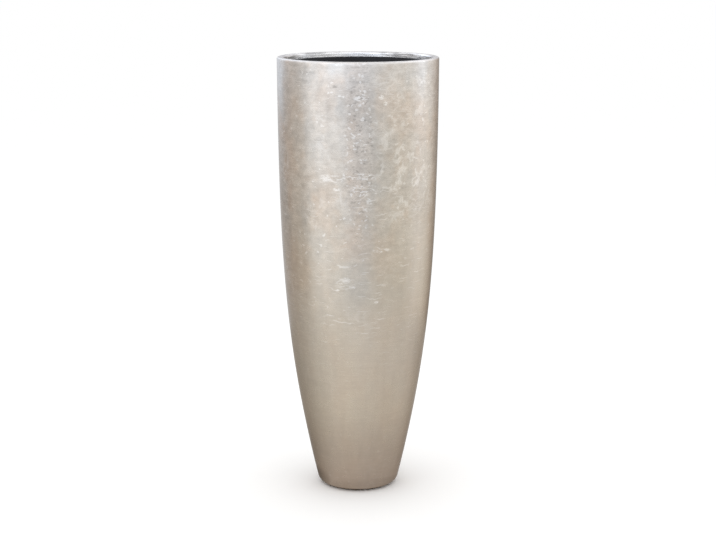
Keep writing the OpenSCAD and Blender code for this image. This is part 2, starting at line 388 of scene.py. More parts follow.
def softened(points, radius, steps=3):
    """A closed outline with its corners rounded, apart from shallow ones and those on the axis."""
    shallow = math.radians(12)
    longest_reach = 0.4
    result = []
    for i, point in enumerate(points):
        here = Vector(point)
        back = Vector(points[i - 1]) - here
        ahead = Vector(points[(i + 1) % len(points)]) - here
        turn = math.pi - back.angle(ahead, math.pi)
        if turn < shallow or here.x == 0:
            result.append(tuple(here))
            continue
        shorter = min(back.length, ahead.length)
        reach = min(radius * math.tan(turn / 2), longest_reach * shorter)
        start = here + back.normalized() * reach
        end = here + ahead.normalized() * reach
        for t in evenly(0, 1, steps):
            result.append(tuple((1 - t) ** 2 * start + 2 * t * (1 - t) * here + t * t * end))
    return result


def filled_in(points, step):
    """A closed outline with its long stretches cut into steps of a given length at most."""
    result = []
    for i, point in enumerate(points):
        here = Vector(point)
        ahead = Vector(points[(i + 1) % len(points)]) - here
        pieces = max(1, math.ceil(ahead.length / step))
        result += [tuple(here + ahead * k / pieces) for k in range(pieces)]
    return result


def socket(tree, name, kind, default=None, side="INPUT"):
    """Adds a named socket to a node group."""
    made = tree.interface.new_socket(name=name, in_out=side, socket_type="NodeSocket" + kind)
    if default is not None:
        made.default_value = default


def new_tree(name, inputs):
    """A Geometry Nodes tree with named inputs, and one geometry output."""
    tree = bpy.data.node_groups.new(name, "GeometryNodeTree")
    for label, kind, default in inputs:
        socket(tree, label, kind, default)
    socket(tree, "Geometry", "Geometry", side="OUTPUT")
    graph = Graph(tree)
    entry = tree.nodes.new("NodeGroupInput")
    values = {label: Value(graph, entry.outputs[label]) for label, _, _ in inputs}
    return graph, values


def end_tree(graph, geometry, material):
    """Ends a tree in Realize Instances, smooth shading and Set Material."""
    real = graph.node("GeometryNodeRealizeInstances", values={"Geometry": geometry})
    smooth = graph.node("GeometryNodeSetShadeSmooth", values={"Geometry": real})
    dressed = graph.node("GeometryNodeSetMaterial", values={"Geometry": smooth, "Material": material})
    leave = graph.tree.nodes.new("NodeGroupOutput")
    graph.feed(leave.inputs["Geometry"], dressed)
    return graph.tree


def turned_tree():
    """Turns a profile of points into a closed skin, with slow waves and creases pressed in its side."""
    graph, given = new_tree("Turned Piece", [
        ("Profile", "Geometry", None),
        ("Steps Around", "Int", 96),
        ("Wave Height", "Float", 0.0),
        ("Wave Size", "Float", 0.1),
        ("Crease Height", "Float", 0.0),
        ("Crease Size", "Float", 0.02),
        ("Crease From", "Float", 0.0),
        ("Crease To", "Float", 1.0),
        ("Material", "Material", None),
    ])
    profile = given["Profile"]
    rows = graph.node(
        "GeometryNodeAttributeDomainSize", {"component": "MESH"}, {"Geometry": profile}, "Point Count"
    )
    grid = graph.node("GeometryNodeMeshGrid", values={
        "Size X": 1.0, "Size Y": 1.0,
        "Vertices X": given["Steps Around"] + 1, "Vertices Y": rows + 1,
    })
    place = graph.node("GeometryNodeInputPosition")
    across, up, _ = graph.xyz(place)
    row = ((up + 0.5) * rows + 0.5).floor() % rows
    turn = (across + 0.5) * FULL_TURN

    def of_row(kind, value):
        """What the profile holds at a grid point's row."""
        return graph.node("GeometryNodeSampleIndex", {"data_type": kind}, {
            "Geometry": profile, "Value": value, "Index": row,
        })

    zone = graph.node("GeometryNodeInputNamedAttribute", {"data_type": "FLOAT"}, {"Name": "zone"})
    marked = graph.node("GeometryNodeStoreNamedAttribute", {"data_type": "FLOAT"}, {
        "Geometry": grid, "Name": "zone", "Value": of_row("FLOAT", zone),
    })
    radius, _, height = graph.xyz(of_row("FLOAT_VECTOR", place))
    turned_place = graph.vector(radius * turn.cosine(), radius * turn.sine(), height)
    skin = graph.node("GeometryNodeSetPosition", values={"Geometry": marked, "Position": turned_place})
    closed = graph.node("GeometryNodeMergeByDistance", values={"Geometry": skin, "Distance": SEAM})

    wave = graph.noise(place, 1 / given["Wave Size"], 1.0)
    crease = graph.noise(place, 1 / given["Crease Size"], 3.0, 0.55, z_scale=1.9)
    ridge = abs(crease * 2 - 1) ** 0.6
    _, _, level = graph.xyz(place)
    crumpled = graph.ease(level, given["Crease From"], given["Crease To"])
    depth = wave * given["Wave Height"] + (1 - ridge) * crumpled * given["Crease Height"]
    outside = (1 - zone * 2).most(0)
    inward = graph.node("ShaderNodeVectorMath", {"operation": "NORMALIZE"}, {
        0: graph.times(place, (-1.0, -1.0, 0.0)),
    })
    offset = graph.times(inward, graph.grey(depth * outside))
    pressed = graph.node("GeometryNodeSetPosition", values={"Geometry": closed, "Offset": offset})
    return end_tree(graph, pressed, given["Material"])


def wire_tree():
    """Sweeps a round wire along a line of points."""
    graph, given = new_tree("Bent Wire", [
        ("Path", "Geometry", None),
        ("Radius", "Float", 0.002),
        ("Sides", "Int", 20),
        ("Material", "Material", None),
    ])
    path = graph.node("GeometryNodeMeshToCurve", values={"Mesh": given["Path"]})
    section = graph.node("GeometryNodeCurvePrimitiveCircle", values={
        "Resolution": given["Sides"], "Radius": given["Radius"],
    })
    swept = graph.node("GeometryNodeCurveToMesh", values={
        "Curve": path, "Profile Curve": section, "Fill Caps": True,
    })
    return end_tree(graph, swept, given["Material"])


def ring_tree():
    """Sets copies of one piece round the Z axis."""
    graph, given = new_tree("Ring Of Copies", [
        ("Piece", "Geometry", None),
        ("Count", "Int", 8),
        ("Material", "Material", None),
    ])
    points = graph.node("GeometryNodePoints", values={"Count": given["Count"]})
    number = graph.node("GeometryNodeInputIndex")
    turn = graph.vector(0.0, 0.0, number * FULL_TURN / given["Count"])
    copies = graph.node("GeometryNodeInstanceOnPoints", values={
        "Points": points, "Instance": given["Piece"],
        "Rotation": graph.node("FunctionNodeEulerToRotation", values={0: turn}),
    })
    return end_tree(graph, copies, given["Material"])


def link_mesh(name, vertices, edges=(), faces=()):
    """A new mesh object in the scene."""
    mesh = bpy.data.meshes.new(name)
    mesh.from_pydata(vertices, edges, faces)
    obj = bpy.data.objects.new(name, mesh)
    bpy.context.scene.collection.objects.link(obj)
    return obj


def grown(source, tree, name, sharp=SHARP, **inputs):
    """Runs a tree on an object, and keeps the result as a plain mesh with its normals outward."""
    modifier = source.modifiers.new("Grow", "NODES")
    modifier.node_group = tree
    entries = [item for item in tree.interface.items_tree if item.in_out == "INPUT"]
    sockets = {item.name: item.identifier for item in entries}
    for label, value in inputs.items():
        modifier[sockets[label.replace("_", " ").title()]] = value
    depsgraph = bpy.context.evaluated_depsgraph_get()
    mesh = bpy.data.meshes.new_from_object(source.evaluated_get(depsgraph))
    source.modifiers.remove(modifier)
    bpy.data.objects.remove(source)
    piece = bpy.data.objects.new(name, mesh)
    bpy.context.scene.collection.objects.link(piece)
    finish_mesh(piece, sharp)
    return piece


def finish_mesh(piece, sharp=SHARP):
    """Turns a closed mesh's faces outward, shades it smooth and keeps its true corners sharp."""
    solid = bmesh.new()
    solid.from_mesh(piece.data)
    bmesh.ops.remove_doubles(solid, verts=solid.verts, dist=WELD)
    bmesh.ops.recalc_face_normals(solid, faces=solid.faces)
    for face in solid.faces:
        face.smooth = True
    solid.to_mesh(piece.data)
    solid.free()
    piece.data.set_sharp_from_angle(angle=math.radians(sharp))


def profile_object(name, points, zones=None):
    """A closed line of points in the XZ plane, with the zone that each belongs to."""
    ring = [(i, (i + 1) % len(points)) for i in range(len(points))]
    source = link_mesh(name, [(r, 0.0, z) for r, z in points], ring)
    marks = source.data.attributes.new("zone", "FLOAT", "POINT")
    marks.data.foreach_set("value", zones or [0.0] * len(points))
    return source


def turned(name, points, zones=None, sharp=SHARP, **inputs):
    """A closed piece turned from its profile."""
    tree = bpy.data.node_groups.get("Turned Piece") or turned_tree()
    return grown(profile_object(name + "_profile", points, zones), tree, name, sharp, **inputs)


class SideLine:
    """The shell's side: one cubic curve from the rim down to the foot's sharp corner."""

    def __init__(self, sizes):
        lean_in = sizes.rim_hold * math.tan(sizes.rim_lean)
        lean_out = sizes.foot_hold * math.tan(sizes.foot_lean)
        self.foot_z = SHELL_LOW.z
        self.ends = (
            Vector((sizes.rim_radius, sizes.height)),
            Vector((sizes.rim_radius - lean_in, sizes.height - sizes.rim_hold)),
            Vector((sizes.foot_radius + lean_out, self.foot_z + sizes.foot_hold)),
            Vector((sizes.foot_radius, self.foot_z)),
        )

    def at(self, t):
        a, b, c, d = self.ends
        return (1 - t) ** 3 * a + 3 * (1 - t) ** 2 * t * b + 3 * (1 - t) * t * t * c + t**3 * d

    def slope(self, t):
        a, b, c, d = self.ends
        return 3 * (1 - t) ** 2 * (b - a) + 6 * (1 - t) * t * (c - b) + 3 * t * t * (d - c)

    def radius(self, z, set_in=0.0):
        """Radius at a height, set in square to the side by a thickness."""
        halvings = 40
        low, high = 0.0, 1.0
        for _ in range(halvings):
            middle = (low + high) / 2
            if self.at(middle).y > z:
                low = middle
            else:
                high = middle
        slope = self.slope(low)
        return self.at(low).x - set_in * slope.length / abs(slope.y)


# Angles round the rim's outer edge, in degrees, at which the leaf ends and the silver paint starts
LEAF_ENDS = 40
RIM_STARTS = 48


def shell_profile(sizes):
    """The shell's closed outline, and each point's zone: 0 outside, 0.5 on the rim, 1 on the lining."""
    side = SideLine(sizes)
    lean = math.degrees(sizes.foot_lean)
    low, bevel = side.foot_z, sizes.edge_break
    corner_z = low + sizes.foot_round
    side_z = corner_z - sizes.foot_round * math.sin(sizes.foot_lean)
    corner = (side.radius(side_z) - sizes.foot_round * math.cos(sizes.foot_lean), corner_z)
    flange_r = corner[0] - sizes.foot_flange
    mouth_r = sizes.rim_radius - sizes.rim_width
    rim_z = sizes.height - sizes.rim_round
    outer_edge = (sizes.rim_radius - sizes.rim_round, rim_z)
    inner_edge = (mouth_r + sizes.rim_round, rim_z)
    mouth_rows, lining_rows = 4, 30

    leaf = [(flange_r, low + bevel), (flange_r + bevel, low)]
    leaf += arc(corner, sizes.foot_round, -90, -lean, 10)
    leaf += [(side.radius(z), z) for z in evenly(side_z, rim_z, sizes.side_rows)[1:-1]]
    leaf += arc(outer_edge, sizes.rim_round, 0, LEAF_ENDS, 4)
    rim = arc(outer_edge, sizes.rim_round, RIM_STARTS, 90, 4)
    rim += arc(inner_edge, sizes.rim_round, 90, 180, 8)
    for drop in evenly(0, rim_z - LEDGE_TOP - bevel, mouth_rows)[1:]:
        rim.append((mouth_r - drop * math.tan(sizes.rim_draft), rim_z - drop))
    lining = [(mouth_r, LEDGE_TOP)]
    lining += [(side.radius(z, sizes.wall), z) for z in evenly(LEDGE_TOP, corner_z, lining_rows)]
    lining += arc(corner, sizes.foot_round - sizes.wall, -lean, -90)
    lining += [(flange_r + bevel, low + sizes.wall), (flange_r, low + sizes.wall - bevel)]
    return leaf + rim + lining, [0.0] * len(leaf) + [0.5] * len(rim) + [1.0] * len(lining)


# Places on the leaf: azimuth in degrees and height of the middle, half the width in degrees, half the
# height, and strength. Azimuth 0 is in front, and 90 is at the right.
STREAKS = ((1, 0.735, 12, 0.24, 1.0),)
# Folds pressed into the relief and painted as bright lines: painted highlights where they catch the
# light from above
CREASES = (
    (2, 0.677, 14, 0.008, 1.0),
    (4, 0.652, 12, 0.012, 0.9),
    (7, 0.630, 8, 0.007, 0.8),
    (20, 0.650, 9, 0.009, 0.6),
    (-20, 0.672, 14, 0.010, 0.8),
    (18, 0.530, 9, 0.010, 0.8),
    (2, 0.612, 10, 0.010, 0.5),
    (-10, 0.462, 9, 0.018, 0.45),
)
VEINS = (
    (36, 0.700, 30, 0.160, 1.0),
    (30, 0.860, 16, 0.030, 0.6),
    (-34, 0.620, 14, 0.080, 0.5),
)
# Small bright flecks: painted glints where the crumpled leaf catches the light
PAINTED_GLINTS = (
    (16, 0.832, 2.4, 0.006, 1.0),
    (19, 0.820, 2.0, 0.006, 1.0),
    (1, 0.830, 5.0, 0.006, 0.9),
    (-23, 0.674, 6.0, 0.008, 0.5),
    (-15, 0.651, 3.6, 0.004, 0.8),
    (-9, 0.468, 4.0, 0.008, 0.6),
    (-4, 0.454, 3.0, 0.004, 0.6),
    (14, 0.422, 2.4, 0.003, 0.8),
    (-16, 0.447, 2.6, 0.003, 0.7),
)
SPOTS = (
    (-16, 0.853, 2.6, 0.004, 1.0),
    (0, 0.862, 6.0, 0.004, 0.8),
    (-2, 0.890, 4.0, 0.003, 0.9),
    (-38, 0.878, 9.0, 0.004, 0.6),
    (-42, 0.862, 7.0, 0.003, 0.6),
)
# Broad places where the leaf's colour is a little darker
DARKENED = (
    (-6, 0.815, 24, 0.056, 1.0),
    (-67, 0.605, 14, 0.040, 0.9),
    (55, 0.605, 16, 0.040, 0.6),
)
# Painted shade on the silver paint inside the rim at the back, grey where the rim's inner edge falls
# into shade
RIM_PAINTED_SHADE = (
    (-140, 0.899, 16, 0.006, 1.0),
    (-118, 0.893, 14, 0.008, 0.8),
    (144, 0.897, 22, 0.009, 1.0),
    (118, 0.894, 10, 0.006, 0.6),
)
# Cool and warm patches: scale, scale along Z, noise at which they start and are full, and strength
PATCHES = ((16.0, 0.6, 0.50, 0.66, 1.0), (48.0, 0.8, 0.52, 0.70, 0.5))


def leaf_tone(m, leaf, z, crumpled):
    """The leaf's colour, graded from rim to foot and darker lower down, partly its own tone and partly
    painted shade, with cool and warm patches.
    """
    tone = m.node("ShaderNodeValToRGB", {"stops": (
        (0.0, leaf.foot_colour_and_shade),
        (0.2, leaf.low_colour),
        (0.55, leaf.middle_colour),
        (1.0, leaf.top_colour),
    )}, {0: z / SHELL_HIGH.z})
    for scale, z_scale, start, full, strength in PATCHES:
        cloud = m.noise(m.place, scale, z_scale=z_scale)
        patchy = (crumpled * 0.8 + 0.2) * strength
        tone = m.tint(m.ease(cloud, start, full) * patchy, tone, leaf.cool_patch)
        tone = m.tint(m.ease(cloud, 1 - start, 1 - full) * patchy, tone, leaf.warm_patch)
    return tone


def leaf_sheets(m, leaf, turn, z):
    """A number for each sheet of leaf, in wandering rows that are staggered."""
    wander = m.noise(m.place, 9.0) * 0.16
    row = (z / leaf.sheet_height + wander).floor()
    column = (turn * (leaf.sheets_around / FULL_TURN) + wander + row * 0.37).floor()
    corner = m.vector(column % leaf.sheets_around, row, 0.0)
    return m.node("ShaderNodeTexWhiteNoise", {"noise_dimensions": "2D"}, {"Vector": corner})


def leaf_streak(m, turn, z):
    """How far a point lies in a grey speckled streak: one in front, and faint ones behind."""
    drift = m.noise(m.place, 15.0, 1.0, z_scale=0.10)
    behind = m.ease(abs(turn), 0.9, 1.4) * 0.7
    return m.placed(turn, z, STREAKS).most(m.ease(drift, 0.54, 0.64) * behind)


def leaf_creases(m, turn, z, bent, crumpled):
    """Folds and marbled veins: strong in their places, and faint here and there elsewhere. They press
    the relief, and the folds' bright lines are painted highlights.
    """
    fold = m.thread(m.noise(bent, 32.0, z_scale=3.6))
    broken = m.ease(m.noise(m.place, 34.0, 1.0), 0.42, 0.58)
    vein = m.thread(m.noise(bent, 22.0, 3.0, z_scale=0.8)) * broken
    elsewhere = m.ease(m.noise(m.place, 9.0, 1.0), 0.54, 0.66) * crumpled * 0.7
    folds = fold * m.placed(turn, z, CREASES).most(elsewhere * 0.5)
    return folds.most(vein * m.placed(turn, z, VEINS).most(elsewhere) * 0.65)


def silver_leaf(leaf, mouth_radius):
    """Silver leaf under satin lacquer, crumpled and cool above, smooth and warm below with painted
    shade, and its rim.
    """
    m = Finish("silver_leaf")
    x, y, z = m.xyz(m.place)
    turn = m.azimuth(x, y)
    zone = m.node("ShaderNodeAttribute", {"attribute_name": "zone"}, output=2)
    lining = m.ease(zone, 0.6, 0.9)
    rim = m.ease(zone, 0.1, 0.4)
    lower_at_right = x.most(0) * 0.9
    crumpled = m.ease(z - lower_at_right, leaf.smooth_below, leaf.crumpled_above, 0.12, 1.0)
    crumpled = crumpled * (1 - rim * 0.85)
    streak = leaf_streak(m, turn, z)
    tone = m.tint(streak, leaf_tone(m, leaf, z, crumpled), leaf.streak_cast)

    bend = m.times(m.noise(m.place, 45.0, output=1), (0.016, 0.016, 0.016))
    bent = m.plus(m.place, bend)
    _, chip, fleck = m.xyz(m.cells(m.times(bent, (1.0, 1.0, 1.5)), 200.0, output=1))
    dash = m.noise(m.place, 190.0, 2.0, 0.6, z_scale=2.0)
    mottle = m.noise(m.place, 60.0, 2.0, 0.6, z_scale=1.4)
    brushed = m.noise(m.place, 18.0, 3.0, 0.7, z_scale=22.0)
    laid = m.noise(m.place, 70.0, z_scale=0.06)
    shade = 1
    for pattern, depth in (
        (mottle, crumpled * 0.42 + 0.06),
        (dash, crumpled * (streak * 0.30 + 0.20)),
        (leaf_sheets(m, leaf, turn, z), 0.04),
        (brushed, m.ease(abs(turn), 0.5, 0.9) * crumpled * 0.16 + 0.14),
        (laid, 0.12),
    ):
        shade = shade + (pattern - 0.5) * depth
    ragged = m.ease(dash, 0.40, 0.52)
    dark = (m.placed(turn, z, SPOTS) * ragged).most((chip > 0.94) * streak * crumpled * 0.7)
    shade = shade - m.placed(turn, z, DARKENED) * 0.09 - dark * 0.28

    # Bright marks: hairlines, speckles, and the painted glints of the placed flecks
    hair = m.ease(m.noise(bent, 26.0, 1.0, z_scale=14.0), 0.66, 0.74)
    hair = hair * m.ease(z, 0.20, 0.40) * (1 - streak)
    speckle = ((fleck > 0.985) * 0.6).most((fleck > 0.93) * streak * 0.7) * crumpled
    light = (m.placed(turn, z, PAINTED_GLINTS) * ragged).most(hair * 0.4).most(speckle)
    crease = leaf_creases(m, turn, z, bent, crumpled)
    # The folds and bright marks are mixed towards a light colour: painted highlights and glints
    shown = m.mix(crease.most(light) * 0.55, m.tint(1.0, tone, m.grey(shade)), leaf.fleck_and_highlight_colour)

    drawn = m.noise(m.place, 36.0, 2.0, 0.6, z_scale=10.0)
    inside = m.ease(m.distance(x, y), mouth_radius + 6 * MM, mouth_radius + 2 * MM)
    # Painted shade: the rim's inner edge is painted grey at the back
    rim_painted_shade = m.placed(turn, z, RIM_PAINTED_SHADE) * m.ease(drawn, 0.62, 0.46) * inside
    paint_shade = m.ease(drawn, 0.35, 0.60, 0.86, 1.0) - rim_painted_shade * 0.45
    shown = m.mix(rim, shown, m.tint(1.0, tuple(leaf.rim_colour), m.grey(paint_shade)))

    rough = leaf.roughness + (mottle - 0.5) * 0.10 + (dash - 0.5) * 0.10 * crumpled
    relief = (mottle * 0.25 + crease * 0.35 + dash * 0.18) * crumpled + drawn * rim * 0.5
    return m.surface(
        base_color=m.mix(lining, shown, leaf.lining_colour),
        metallic=1 - rim * 0.1 - lining * 0.9,
        roughness=rough + lining * 0.3,
        specular_tint=(0.62, 0.58, 0.54),
        coat_weight=0.12,
        coat_roughness=0.25,
        normal=m.bump(relief * (1 - lining), 0.4 * MM, 1.0),
    )


def moulded_plastic():
    """Black moulded plastic with a fine grain, and a little dust on what faces up."""
    m = Finish("liner_plastic")
    grain = m.noise(m.place, 900.0, 2.0)
    cloud = m.noise(m.place, 18.0, 3.0)
    _, _, up = m.xyz(m.node("ShaderNodeNewGeometry", output=1))
    dust = m.ease(up, 0.5, 1.0) * m.ease(cloud, 0.4, 0.7)
    return m.surface(
        base_color=m.mix(dust * 0.5 + grain * 0.15, (0.008, 0.008, 0.010), (0.045, 0.045, 0.05)),
        specular_ior_level=0.25,
        roughness=m.ease(cloud, 0.3, 0.7, 0.37, 0.52),
        normal=m.bump(grain, 0.06 * MM, 0.6),
    )


def galvanised_wire():
    """Drawn wire with a dull zinc coat and fine lengthwise scratches."""
    m = Finish("galvanised_wire")
    streaks = m.noise(m.times(m.place, (1.0, 0.25, 0.25)), 1500.0, 2.0)
    spangle = m.cells(m.place, 260.0)
    shade = m.mix(m.ease(spangle, 0.1, 0.8), (0.62, 0.63, 0.65), (0.46, 0.47, 0.49))
    return m.surface(
        base_color=m.tint(0.6, shade, m.grey(m.ease(streaks, 0.3, 0.7, 0.8, 1.1))),
        metallic=1.0,
        roughness=m.ease(streaks, 0.3, 0.7, 0.28, 0.46),
        normal=m.bump(streaks, 0.03 * MM, 0.5),
    )


def raw_laminate():
    """Glass-fibre laminate as it leaves the roller, with its chopped strands showing."""
    m = Finish("raw_laminate")
    strands = m.noise(m.place, 240.0, 4.0, 0.7, z_scale=0.2)
    crossed = m.cells(m.place, 110.0, "DISTANCE_TO_EDGE")
    fibre = (strands * 0.7 + m.ease(crossed, 0.0, 0.2) * 0.3)
    return m.surface(
        base_color=m.mix(m.ease(fibre, 0.3, 0.8), (0.24, 0.22, 0.15), (0.46, 0.44, 0.34)),
        roughness=m.ease(strands, 0.3, 0.7, 0.35, 0.6),
        normal=m.bump(fibre, 0.4 * MM, 0.7),
    )


def cast_mortar():
    """Rough grey mortar with sand grains and small pits, which are painted darker as painted shade in
    their hollows.
    """
    m = Finish("cast_mortar")
    sand = m.noise(m.place, 700.0, 3.0, 0.7)
    cloud = m.noise(m.place, 25.0, 3.0)
    # The pits are painted darker: painted shade in the hollows
    pits = m.ease(m.cells(m.place, 160.0), 0.16, 0.05)
    base = m.mix(m.ease(cloud, 0.3, 0.7), (0.30, 0.29, 0.27), (0.44, 0.43, 0.40))
    return m.surface(
        base_color=m.tint(0.7, base, m.grey(m.ease(sand, 0.25, 0.75, 0.7, 1.15) - pits * 0.4)),
        roughness=0.95,
        normal=m.bump(sand - pits, 0.5 * MM, 0.9),
    )


def black_rubber(name, grain_size):
    """Matte rubber with a fine stipple and a slight bloom."""
    m = Finish(name)
    stipple = m.cells(m.place, 1 / grain_size)
    bloom = m.noise(m.place, 60.0, 3.0)
    return m.surface(
        base_color=m.mix(m.ease(bloom, 0.4, 0.75), (0.018, 0.018, 0.019), (0.05, 0.05, 0.052)),
        roughness=m.ease(bloom, 0.3, 0.7, 0.62, 0.80),
        normal=m.bump(stipple, 0.15 * MM, 0.5),
    )


def painted_ledge():
    """Black paint brushed over bonded laminate."""
    m = Finish("painted_ledge")
    strokes = m.noise(m.place, 120.0, 3.0, z_scale=8.0)
    return m.surface(
        base_color=m.mix(m.ease(strokes, 0.4, 0.8), (0.018, 0.018, 0.019), (0.045, 0.045, 0.047)),
        roughness=m.ease(strokes, 0.3, 0.7, 0.45, 0.65),
        normal=m.bump(strokes, 0.2 * MM, 0.6),
    )


def dress(node, material):
    """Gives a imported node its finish."""
    mesh = frame["nodes"][node].data
    mesh.materials.clear()
    mesh.materials.append(material)


def keep(piece, body, slot, *nodes):
    """Attaches a finished piece to the body it moves with, and hides the nodes it stands for. The slot
    is not used.
    """
    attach(piece, body)
    if nodes:
        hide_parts(*nodes)


class PLANTER_OT_shell(bpy.types.Operator):
    """Turns the shell's skin from its profile and lays the silver leaf on it"""

    bl_idname = "planter.shell"
    bl_label = "Shell"

    def execute(self, context):
        sizes, leaf = context.scene.planter_shell, context.scene.planter_leaf
        skin = turned(
            "leaf_skin", *shell_profile(sizes), sharp=50, steps_around=sizes.steps_around,
            wave_height=sizes.wave_height, wave_size=sizes.wave_size,
            crease_height=sizes.crease_height, crease_size=sizes.crease_size,
            crease_from=leaf.smooth_below, crease_to=leaf.crumpled_above,
            material=silver_leaf(leaf, sizes.rim_radius - sizes.rim_width),
        )
        keep(skin, "planter", "silver_leaf", "shell")
        return {"FINISHED"}


class PLANTER_OT_foot(bpy.types.Operator):
    """Finishes the ledge, the base panel, the cast weight and the pad"""

    bl_idname = "planter.foot"
    bl_label = "Ledge And Foot"

    def execute(self, context):
        dress("liner_ledge", painted_ledge())
        dress("base_panel", raw_laminate())
        dress("ballast", cast_mortar())
        dress("base_pad", black_rubber("pad_rubber", 2 * MM))
        return {"FINISHED"}


class LinerShape:
    """Levels and radii of the liner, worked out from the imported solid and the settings."""

    def __init__(self, sizes, fittings):
        self.sizes = sizes
        self.flange_r = LINER_HIGH.x
        self.flange_z = LINER_HIGH.z
        self.low_z = LINER_LOW.z
        self.seat_z = self.flange_z - sizes.flange
        self.top_r = self.flange_r - sizes.flange_reach
        self.shoulder_z = self.flange_z - sizes.shoulder_drop
        self.shoulder_end_z = self.shoulder_z - 2 * sizes.shoulder_step
        self.corner_z = self.low_z + sizes.corner
        self.floor_z = self.low_z + sizes.floor_raise
        self.floor_top_z = self.floor_z + sizes.wall
        self.corner_r = self.outside(self.corner_z) - sizes.corner
        self.foot_in_r = self.corner_r - sizes.foot_width
        self.hole_r = PLUG_HIGH.x - fittings.plug_cover + fittings.plug_clearance

    def outside(self, z):
        """Outside radius at a height."""
        fall = min(1.0, max(0.0, (self.shoulder_z - z) / (self.shoulder_z - self.shoulder_end_z)))
        drafted = self.top_r - (self.seat_z - z) * math.tan(self.sizes.draft)
        return drafted - self.sizes.shoulder_step * fall

    def inside(self, z):
        """Inside radius at a height."""
        return self.outside(z) - self.sizes.wall


def liner_profile(shape):
    """The liner's closed outline, with a hole in its floor for the drain."""
    sizes = shape.sizes
    slant = sizes.floor_raise / 2
    corner = (shape.corner_r, shape.corner_z)
    longest_step = 20 * MM
    points = [
        (shape.hole_r, shape.floor_z),
        (shape.foot_in_r, shape.floor_z),
        (shape.foot_in_r + slant, shape.low_z),
        *arc(corner, sizes.corner, -90, 0),
        (shape.outside(shape.shoulder_end_z), shape.shoulder_end_z),
        (shape.outside(shape.shoulder_z), shape.shoulder_z),
        (shape.top_r, shape.seat_z),
        (shape.flange_r, shape.seat_z),
        (shape.flange_r, shape.flange_z),
        (shape.inside(shape.flange_z), shape.flange_z),
        (shape.inside(shape.shoulder_z), shape.shoulder_z),
        (shape.inside(shape.shoulder_end_z), shape.shoulder_end_z),
        *arc(corner, sizes.corner - sizes.wall, 0, -90),
        (shape.foot_in_r + sizes.wall + slant, shape.low_z + sizes.wall),
        (shape.foot_in_r + sizes.wall, shape.floor_top_z),
        (shape.hole_r, shape.floor_top_z),
    ]
    return filled_in(softened(points, sizes.edge_round), longest_step)


def rib(shape):
    """One drainage rib along +X, sunk a little into the liner's floor, with a rounded top."""
    sizes, sunk = shape.sizes, 0.8 * MM
    start = PLUG_HIGH.x + sizes.rib_width
    end = shape.foot_in_r - sizes.rib_width
    low = shape.floor_top_z - sunk
    high = shape.floor_top_z + sizes.rib_height
    middle = Vector(((start + end) / 2, 0, (low + high) / 2))
    solid = bmesh.new()
    bmesh.ops.create_cube(solid, size=1.0)
    bmesh.ops.scale(solid, verts=solid.verts, vec=(end - start, sizes.rib_width, high - low))
    bmesh.ops.translate(solid, verts=solid.verts, vec=middle)
    top = [edge for edge in solid.edges if all(v.co.z > middle.z for v in edge.verts)]
    bmesh.ops.bevel(
        solid, geom=top, offset=sizes.edge_round, segments=3, profile=0.5, affect="EDGES"
    )
    obj = link_mesh("rib", [])
    solid.to_mesh(obj.data)
    solid.free()
    return obj


def ear(shape, fittings, mirror_x, mirror_y):
    """Vertices and faces of one moulded ear: a bored boss whose web runs into the liner's wall."""
    near_y = fittings.handle_width / 2 + fittings.ear_bend + fittings.ear_gap
    far_y = near_y + fittings.ear_width
    hole_r = WIRE_RADIUS + fittings.pin_clearance
    bevel, flare, sunk = 0.8 * MM, 2 * MM, 1.2 * MM
    boxiness, flare_from = 0.35, 0.55
    steps = 40

    def outside(turn, y, inset):
        """A point of the web and boss, from the pivot: round at the bore, and square at the wall."""
        radius = fittings.ear_radius + inset
        across, up = math.cos(turn), math.sin(turn)
        if across <= 0:
            return radius * across, radius * up
        wall_x = math.sqrt(shape.inside(PIVOT_Z) ** 2 - y * y) + sunk - PIVOT_X
        reach = across**boxiness
        spread = flare * max(0.0, reach - flare_from) / (1 - flare_from)
        return wall_x * reach, math.copysign(abs(up) ** boxiness, up) * (radius + spread)

    def bore(turn, y, inset):
        return hole_r * math.cos(turn), hole_r * math.sin(turn)

    cuts = (
        (outside, near_y, -bevel),
        (outside, near_y + bevel, 0.0),
        (outside, far_y - bevel, 0.0),
        (outside, far_y, -bevel),
        (bore, far_y, 0.0),
        (bore, near_y, 0.0),
    )
    vertices, faces = [], []
    for n, (outline, y, inset) in enumerate(cuts):
        here, ahead = n * steps, (n + 1) % len(cuts) * steps
        for k in range(steps):
            dx, dz = outline(FULL_TURN * k / steps, y, inset)
            vertices.append((mirror_x * (PIVOT_X + dx), mirror_y * y, PIVOT_Z + dz))
            after = (k + 1) % steps
            faces.append((here + k, here + after, ahead + after, ahead + k))
    return vertices, faces


def ears(shape, fittings, material):
    """The liner's four ears as one piece."""
    vertices, faces = [], []
    for mirror_x in (-1, 1):
        for mirror_y in (-1, 1):
            more, round_it = ear(shape, fittings, mirror_x, mirror_y)
            faces += [tuple(len(vertices) + i for i in face) for face in round_it]
            vertices += more
    piece = link_mesh("liner_ears", vertices, (), faces)
    piece.data.materials.append(material)
    finish_mesh(piece)
    return piece


class PLANTER_OT_liner(bpy.types.Operator):
    """Turns the liner and adds its ears and drainage ribs"""

    bl_idname = "planter.liner"
    bl_label = "Liner"

    def execute(self, context):
        sizes, fittings = context.scene.planter_liner, context.scene.planter_fittings
        shape = LinerShape(sizes, fittings)
        plastic = moulded_plastic()
        pot = turned(
            "liner_pot", liner_profile(shape), steps_around=sizes.steps_around, material=plastic
        )
        keep(pot, "liner", "liner_plastic", "liner")
        keep(ears(shape, fittings, plastic), "liner", "liner_plastic")
        ribs = grown(rib(shape), ring_tree(), "liner_ribs", count=sizes.rib_count, material=plastic)
        keep(ribs, "liner", "liner_plastic")
        return {"FINISHED"}


